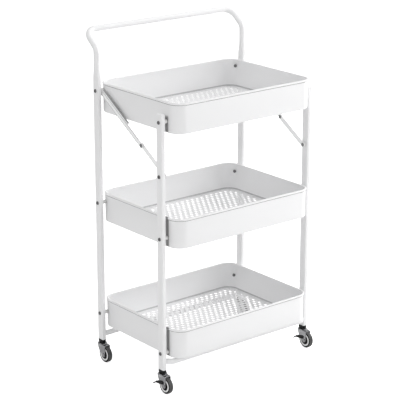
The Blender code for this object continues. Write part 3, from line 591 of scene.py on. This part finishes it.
black_screw = finish(
    "blackened_steel", (0.17, 0.17, 0.172), (0.26, 0.26, 0.26), 1400, 120, (0.30, 0.46), 0.5,
    (0.12, 0.0002), metallic=0.75)
white_bush = finish(
    "white_bush_plastic", (0.80, 0.80, 0.79), (0.7, 0.7, 0.69), 1200, 90, (0.38, 0.5), 0.3, (0.08, 0.0002))
BOLT_HEAD = 0.0041
BOLT_SHANK = 0.0029
NUT_HEIGHT = 0.0030
wall_x = (mid_high.x - mid_low.x) / 2 - (BEAD - SHEET / 2)
post_in, post_out = post_x - post_half[0], post_x + post_half[0]


def turned(bm, profile, centre, axis, sides=32, loop=False):
    """A turned solid: (distance along the axis, radius) pairs from one end to the other."""
    axis = Vector(axis)
    across = Vector((0, 1, 0)) if abs(axis.x) > 0.5 else Vector((1, 0, 0))
    up = axis.cross(across)
    rings = [[Vector(centre) + axis * along + across * a + up * b for a, b in disc(radius, sides)]
             for along, radius in profile]
    skin_rings(bm, rings, loop=loop, ends=(not loop, not loop))


def socket_head(reach, radius, height):
    """A low dome with a recessed socket, as turned profile pairs that start at the bearing face."""
    return [
        (reach, radius), (reach + height * 0.45, radius), (reach + height * 0.78, radius * 0.90),
        (reach + height, radius * 0.66), (reach + height, radius * 0.46),
        (reach + height * 0.92, radius * 0.42), (reach + height * 0.35, radius * 0.40)]


bolt_names = [n for n in frame["nodes"] if "_bolt_" in n or "stay_foot_screw" in n]
for node in bolt_names:
    low, high = corners(node)
    side = 1 if node.endswith("right") else -1
    centre = Vector((0, (low.y + high.y) / 2, (low.z + high.z) / 2))
    outer = max(abs(low.x), abs(high.x))
    inner = min(abs(low.x), abs(high.x))
    body = "front_frame" if "front" in node or "foot" in node else "rear_frame"
    bm = bmesh.new()
    if "_bolt_" in node:
        nut = inner + NUT_HEIGHT
        profile = [(inner, 0.0022), (inner + 0.0006, 0.0030), (inner + 0.0016, 0.0036), (nut, 0.0038),
                   (nut, BOLT_SHANK)]
    else:
        profile = [(inner, BOLT_SHANK)]
    bearing = post_out + 0.0001
    profile += [(bearing, BOLT_SHANK)] + socket_head(bearing, BOLT_HEAD, outer - bearing)
    turned(bm, profile, centre, (side, 0, 0))
    finish_piece(node + "_steel", bm, [black_screw], body, sharp=35, nodes=[node])
    if "_bolt_" in node:
        spans = [(wall_x + 0.0003, post_in - 0.0001)]
        if node.startswith("top_rear"):
            link = corners("stay_upper_" + node.split("_")[-1])
            link_in, link_out = sorted((abs(link[0].x), abs(link[1].x)))
            spans = [(wall_x + 0.0003, link_in - 0.0002), (link_out + 0.0002, post_in - 0.0001)]
    else:
        spans = [(inner, post_in - 0.0001)]
    for k, (a, b) in enumerate(spans):
        bm = bmesh.new()
        bush = [(a, 0.0040), (a + 0.0004, 0.0045), (b - 0.0004, 0.0045), (b, 0.0040)]
        turned(bm, bush, centre, (side, 0, 0))
        finish_piece(f"{node}_bush_{k}", bm, [white_bush], body, sharp=60)


# --- Folding stays ------------------------------------------------------------------------------
# Two strips of 2 mm steel, each pressed with a rib along its middle, are riveted together at an
# elbow that moves when the cart folds. They have a glossier white coat than the frame.

stay_white = finish(
    "stay_gloss_coat", (0.97, 0.97, 0.97), (0.90, 0.90, 0.90), 850, 22, (0.14, 0.24), 0.3,
    (0.08, 0.0003), coat=0.5)
dark_rivet = finish(
    "dark_rivet_steel", (0.24, 0.24, 0.242), (0.34, 0.34, 0.34), 1500, 120, (0.25, 0.40), 0.5,
    (0.1, 0.0002), metallic=0.8)


def strip(bm, start, end, x_low, x_high, half, side):
    """A round-ended strip with chamfered edges between two points in the Y-Z plane."""
    a, b = Vector((0, *start)), Vector((0, *end))
    along = (b - a).normalized()
    across = Vector((1, 0, 0)).cross(along)
    length = (b - a).length

    def outline(radius, x):
        ring = []
        for centre, base in ((length, -90), (0.0, 90)):
            for k in range(13):
                turn = math.radians(base + 15 * k)
                ring.append(a + along * (centre + radius * math.cos(turn)) + across * radius * math.sin(turn)
                            + Vector((side * x, 0, 0)))
        return ring
    soft = min(0.0003, (x_high - x_low) / 4)
    skin_rings(bm, [outline(half - soft, x_low), outline(half, x_low + soft), outline(half, x_high - soft),
                    outline(half - soft, x_high)], ends=(True, True))


STAY_SHEET = 0.0018
STAY_HALF = 0.006            # half the strip's width
RIVET_HEAD = 0.0012
joint_at = {joint["name"]: Vector(joint["pos_m"]) for joint in frame["record"]["behaviour"]["joints"]}
for side_name, side in (("left", -1), ("right", 1)):
    elbow_low, elbow_high = corners("stay_elbow_rivet_" + side_name)
    elbow = ((elbow_low.y + elbow_high.y) / 2, (elbow_low.z + elbow_high.z) / 2)
    top_pin = joint_at["fold"]
    foot_pin = joint_at["lower_stay_hinge_" + side_name]
    for part, start, end in (
            ("upper", (top_pin.y, top_pin.z), elbow), ("lower", elbow, (foot_pin.y, foot_pin.z))):
        low, high = corners(f"stay_{part}_{side_name}")
        x_low, x_high = sorted((abs(low.x), abs(high.x)))
        x_low = x_high - STAY_SHEET
        bm = bmesh.new()
        strip(bm, start, end, x_low, x_high - 0.0005, STAY_HALF, side)
        a, b = Vector(start), Vector(end)
        lead = (b - a).normalized() * 0.013
        strip(bm, tuple(a + lead), tuple(b - lead), x_high - 0.0007, x_high, 0.0026, side)
        if part == "upper":
            # a pressed line runs along both edges, and the lower edge is turned in towards the tray; the
            # pressed lines are coloured dark as painted shade
            along = (b - a).normalized()
            square = Vector((-along.y, along.x))
            for sign in (-1, 1):
                first = len(bm.faces)
                near, far = a + along * 0.010, b - along * 0.014
                ring = [near + square * sign * w for w in (0.0040, 0.0049)]
                ring += [far + square * sign * w for w in (0.0049, 0.0040)]
                levels = (x_high - 0.0009, x_high - 0.0004)
                skin_rings(bm, [[(side * x, p.x, p.y) for p in ring] for x in levels], ends=(True, True))
                bm.faces.ensure_lookup_table()
                for face in bm.faces[first:]:
                    face.material_index = 1
            # the upper edge is folded wider over the first two thirds, with a dark line of painted shade
            # under the fold; the turned-in lower edge is painted shade too
            reach = (b - a).length
            for w0, w1, start_at, stop_at, x0, x1, slot_index in (
                    (0.0048, 0.0060, 0.012, reach - 0.016, x_low - 0.0034, x_low + 0.0004, 1),
                    (-0.0078, -0.0056, 0.009, reach * 0.66, x_low, x_high - 0.0005, 0),
                    (-0.0086, -0.0078, 0.009, reach * 0.66 - 0.001, x_low - 0.0030, x_high - 0.0009, 1)):
                first = len(bm.faces)
                near, far = a + along * start_at, a + along * stop_at
                ring = [near + square * w0, near + square * w1, far + square * w1, far + square * w0]
                skin_rings(bm, [[(side * x, p.x, p.y) for p in ring] for x in (x0, x1)], ends=(True, True))
                bm.faces.ensure_lookup_table()
                for face in bm.faces[first:]:
                    face.material_index = slot_index
        finish_piece(f"stay_{part}_strip_{side_name}", bm, [stay_white, painted_crease_shade],
                     f"{part}_stay_{side_name}", sharp=30, nodes=[f"stay_{part}_{side_name}"])
    # the elbow's inner half stays with the lower strip
    low, high = corners("stay_lower_" + side_name)
    x_low, x_high = sorted((abs(low.x), abs(high.x)))
    bm = bmesh.new()
    button = [(x_low, 0.0014), (x_low + 0.0003, 0.0028), (x_low + 0.0007, 0.0040), (x_low + 0.0013, 0.0044)]
    turned(bm, button, (0, *elbow), (side, 0, 0), 24)
    finish_piece("stay_elbow_button_" + side_name, bm, [dark_rivet], "lower_stay_" + side_name)
    for node, body in (("stay_elbow_rivet_", "upper_stay_"), ("stay_foot_rivet_", "lower_stay_")):
        low, high = corners(node + side_name)
        x_low, x_high = sorted((abs(low.x), abs(high.x)))
        centre = (0, (low.y + high.y) / 2, (low.z + high.z) / 2)
        if "elbow" in node:
            dome = [(x_low, 0.0045), (x_low + 0.0003, 0.0045), (x_low + 0.0003, 0.0022)]
            dome += [(x_high - RIVET_HEAD, 0.0022), (x_high - RIVET_HEAD, 0.0045), (x_high - 0.0007, 0.0040),
                     (x_high - 0.0003, 0.0028), (x_high, 0.0014)]
        else:
            dome = [(x_low, 0.0014), (x_low + 0.0003, 0.0028), (x_low + 0.0007, 0.0040),
                    (x_low + RIVET_HEAD, 0.0045), (x_low + RIVET_HEAD, 0.0022), (x_high, 0.0022)]
        bm = bmesh.new()
        turned(bm, dome, centre, (side, 0, 0), 24)
        finish_piece(node + "dome_" + side_name, bm, [dark_rivet], body + side_name, nodes=[node + side_name])


# --- Castors ------------------------------------------------------------------------------------
# A black plastic plug in each post's foot holds a chromed stem and race over a pressed fork. The
# wheel is a black hub in a bright ring with a solid rubber tyre, and the front forks carry a pedal.

black_plastic = finish(
    "black_moulded_plastic", (0.008, 0.008, 0.0085), (0.03, 0.03, 0.03), 1100, 80, (0.30, 0.44), 0.6,
    (0.18, 0.0003), specular=0.22)
tyre_rubber = finish(
    "tyre_rubber", (0.006, 0.006, 0.0065), (0.03, 0.03, 0.03), 1300, 60, (0.50, 0.66), 0.8,
    (0.25, 0.0003), specular=0.12)
# the tread's lighter grey is partly wear and partly a painted highlight
tread_wear_and_highlight = finish(
    "tread_rubber_worn", (0.07, 0.07, 0.07), (0.22, 0.22, 0.215), 900, 60, (0.45, 0.62), 0.9, (0.3, 0.0004))
bright_chrome = finish(
    "zinc_chrome", (0.36, 0.36, 0.37), (0.14, 0.14, 0.145), 420, 90, (0.10, 0.26), 0.9, (0.06, 0.0002), 1.0)
ring_chrome = finish(
    "bright_ring_chrome", (0.95, 0.95, 0.95), (0.75, 0.75, 0.76), 700, 60, (0.14, 0.24), 0.3,
    (0.03, 0.0002), coat=0.4)
race_zinc = finish(
    "bright_race_zinc", (0.86, 0.86, 0.87), (0.6, 0.6, 0.61), 520, 80, (0.16, 0.30), 0.5, (0.05, 0.0002), 0.7)
WHEEL = 0.020
TYRE = 0.0042
FORK_PLATE = 0.0015
FORK_BOSS = 0.0063           # round the axle
CROWN = 0.002
CROWN_RADIUS = 0.0115
AXLE_HEAD = 0.0013
PEDAL_PLATE = 0.0014


def side_plate(bm, outline, x_low, x_high):
    rings = [[(x, y, z) for y, z in outline] for x in (x_low, x_high)]
    skin_rings(bm, rings, ends=(True, True))


for end in ("front", "rear"):
    for side_name in ("left", "right"):
        tag = f"{end}_{side_name}"
        swivel, wheel = f"swivel_{tag}", f"wheel_{tag}"
        x, swivel_y = joint_at[f"swivel_{tag}_turn"].x, joint_at[f"swivel_{tag}_turn"].y
        axle_y, axle_z = joint_at[f"wheel_{tag}_spin"].y, joint_at[f"wheel_{tag}_spin"].z
        hub_low, hub_high = corners("castor_tyre_" + tag)
        half = (hub_high.x - hub_low.x) / 2
        axle = Vector((x, axle_y, axle_z))

        # tyre: dark side walls, and a lighter tread with two fine grooves, its grey partly wear and partly a
        # painted highlight of the tread catching the light
        bm = bmesh.new()
        inner = WHEEL - TYRE
        wall_profile = [
            (-half + 0.0018, inner), (-half, inner + 0.0006), (-half, WHEEL - 0.0024),
            (-half + 0.0004, WHEEL - 0.0014), (-half + 0.0012, WHEEL - 0.0005), (-half + 0.0022, WHEEL)]
        tread_profile = [
            (-half + 0.0022, WHEEL), (-0.0018, WHEEL), (-0.0016, WHEEL - 0.0005),
            (-0.0012, WHEEL - 0.0005), (-0.0010, WHEEL)]
        profile = wall_profile + tread_profile[1:] + [(-a, b) for a, b in reversed(tread_profile)]
        profile += [(-a, b) for a, b in reversed(wall_profile[:-1])]
        turned(bm, profile, axle, (1, 0, 0), 56, loop=True)
        bm.faces.ensure_lookup_table()
        for face in bm.faces:
            c = face.calc_center_median()
            if math.hypot(c.y - axle_y, c.z - axle_z) > WHEEL - 0.0011:
                face.material_index = 1
        finish_piece("tyre_" + tag, bm, [tyre_rubber, tread_wear_and_highlight], wheel, sharp=50,
                     nodes=["castor_tyre_" + tag])

        # hub with a dished web and raised boss, and a bright ring on each face
        bm = bmesh.new()
        rim = inner - 0.0003
        face_profile = [(half - 0.0006, rim), (half - 0.0006, rim - 0.0008), (half - 0.0026, rim - 0.0050),
                        (half - 0.0026, 0.0062), (half - 0.0004, 0.0054), (half - 0.0002, 0.0030)]
        profile = [(-a, b) for a, b in face_profile] + [(a, b) for a, b in reversed(face_profile)]
        turned(bm, profile, axle, (1, 0, 0), 48, loop=True)
        finish_piece("hub_" + tag, bm, [black_plastic], wheel, nodes=["castor_hub_" + tag])
        for face_name, sign in (("outer", 1), ("inner", -1)):
            bm = bmesh.new()
            turned(bm, [(half - 0.0008, rim), (half + 0.0001, rim - 0.0003), (half + 0.0001, rim - 0.0036),
                        (half - 0.0008, rim - 0.0040)], axle, (sign, 0, 0), 48, loop=True)
            finish_piece(f"wheel_ring_{face_name}_{tag}", bm, [ring_chrome], wheel)

        # fork: two pressed cheeks with round feet under a round crown
        fork_low, fork_high = corners("castor_fork_" + tag)
        axle_low, axle_high = corners("castor_axle_" + tag)
        cheek_out = (axle_high.x - axle_low.x) / 2 - 0.0016
        cheek_in = cheek_out - FORK_PLATE
        boss = FORK_BOSS
        top_z, crown_z = fork_high.z, fork_high.z - CROWN
        cheek = [(axle_y - boss, crown_z - 0.002)]
        cheek += [(axle_y + boss * math.cos(math.radians(a)), axle_z + boss * math.sin(math.radians(a)))
                  for a in range(180, 346, 15)]
        cheek += [(swivel_y + 0.0030, axle_z + 0.0085), (swivel_y + 0.0068, crown_z - 0.0050),
                  (swivel_y + 0.0075, crown_z - 0.0015), (swivel_y + 0.0075, top_z)]
        cheek += [(axle_y - boss + 0.003, top_z), (axle_y - boss + 0.0009, top_z - 0.0009)]
        for cheek_name, sign in (("a", -1), ("b", 1)):
            bm = bmesh.new()
            side_plate(bm, cheek, x + sign * cheek_in, x + sign * cheek_out)
            finish_piece(f"fork_cheek_{cheek_name}_{tag}", bm, [bright_chrome], swivel, sharp=30,
                         bevel=0.0003, nodes=["castor_fork_" + tag] if sign < 0 else ())
        bm = bmesh.new()
        bridge = [(-cheek_out + 0.0001, axle_y - boss + 0.001), (cheek_out - 0.0001, axle_y - boss + 0.001),
                  (cheek_out - 0.0001, swivel_y + 0.0074), (-cheek_out + 0.0001, swivel_y + 0.0074)]
        skin_rings(bm, [[(x + a, b, z) for a, b in bridge] for z in (crown_z, top_z - 0.0001)],
                   ends=(True, True))
        finish_piece("fork_bridge_" + tag, bm, [bright_chrome], swivel, sharp=30, bevel=0.0005)
        bm = bmesh.new()
        turned(bm, [(crown_z + 0.0002, CROWN_RADIUS - 0.0007), (crown_z + 0.0006, CROWN_RADIUS),
                    (top_z - 0.0004, CROWN_RADIUS), (top_z, CROWN_RADIUS - 0.0005)],
               (x, swivel_y, 0), (0, 0, 1), 40)
        finish_piece("fork_crown_" + tag, bm, [race_zinc], swivel)

        # axle with riveted heads
        bm = bmesh.new()
        reach = (axle_high.x - axle_low.x) / 2
        head = [(reach - AXLE_HEAD, 0.0025), (reach - AXLE_HEAD, 0.0038), (reach - 0.0007, 0.0036),
                (reach - 0.0002, 0.0028), (reach, 0.0016)]
        turned(bm, [(-a, b) for a, b in reversed(head)] + head, axle, (1, 0, 0), 28)
        finish_piece("axle_" + tag, bm, [bright_chrome], swivel, nodes=["castor_axle_" + tag])

        # stem and race, and the plug's collar under the post
        race_low, race_high = corners("castor_stem_" + tag)
        frame_body = end + "_frame"
        race = (race_high.x - race_low.x) / 2
        base = joint_at[f"swivel_{tag}_turn"].z
        bm = bmesh.new()
        race_profile = [
            (race_low.z, 0.0028), (base, 0.0028), (base, race - 0.0008), (base + 0.0006, race),
            (base + 0.0014, race - 0.0002), (base + 0.0022, race * 0.80), (base + 0.0024, race * 0.55),
            (base + 0.0024, 0.0035), (race_high.z, 0.0035)]
        turned(bm, race_profile, (x, swivel_y, 0), (0, 0, 1), 40)
        finish_piece("race_" + tag, bm, [bright_chrome], frame_body, nodes=["castor_stem_" + tag])
        plug_low, plug_high = corners("castor_plug_" + tag)
        foot_z = corners("front_post_left")[0].z
        bm = bmesh.new()
        levels = [(plug_low.z, 0.80), (plug_low.z + 0.0012, 0.90), (plug_low.z + 0.0030, 0.96),
                  (foot_z - 0.0014, 0.97), (foot_z - 0.0008, 1.0), (foot_z - 0.0003, 1.0)]
        skin_rings(bm, [[(x + a * s, swivel_y + b * s, z) for a, b in post_section(0.0)] for z, s in levels],
                   ends=(True, True))
        finish_piece("foot_plug_" + tag, bm, [black_plastic], frame_body, sharp=50,
                     nodes=["castor_plug_" + tag])

        # brake pedal with two ears and a curled tread
        if end == "front":
            ear_low, ear_high = corners("brake_lever_" + tag)
            ear_out = (ear_high.x - ear_low.x) / 2
            ear_in = ear_out - PEDAL_PLATE
            pin_y, pin_z = joint_at[f"brake_{tag}_press"].y, joint_at[f"brake_{tag}_press"].z
            tip = ear_high.y - pin_y
            ear = [
                (-0.0036, 0.0006), (-0.0034, -0.0012), (-0.0022, -0.0032), (0.0, -0.0046),
                (0.010, -0.0060), (0.0205, -0.0066), (0.0238, -0.0046), (0.0225, -0.0020),
                (0.0150, 0.0002), (0.0060, 0.0030), (0.0020, 0.0037), (-0.0010, 0.0034), (-0.0028, 0.0022)]
            for ear_name, sign in (("a", -1), ("b", 1)):
                bm = bmesh.new()
                ear_outline = [(pin_y + a, pin_z + b) for a, b in ear]
                side_plate(bm, ear_outline, x + sign * ear_in, x + sign * ear_out)
                finish_piece(f"pedal_ear_{ear_name}_{tag}", bm, [black_plastic], "brake_" + tag, sharp=30,
                             bevel=0.0003, nodes=["brake_lever_" + tag] if sign < 0 else ())
            tread = [
                (0.0184, -0.0058), (0.0220, -0.0068), (0.0270, -0.0094), (tip - 0.002, -0.0124),
                (tip, -0.0126), (tip - 0.0006, -0.0108), (0.0290, -0.0072), (0.0245, -0.0044),
                (0.0215, -0.0026), (0.0186, -0.0018)]
            bm = bmesh.new()
            tread_outline = [(pin_y + a, pin_z + b) for a, b in tread]
            side_plate(bm, tread_outline, x - ear_out + 0.0001, x + ear_out - 0.0001)
            finish_piece("pedal_" + tag, bm, [black_plastic], "brake_" + tag, sharp=40, bevel=0.0005)
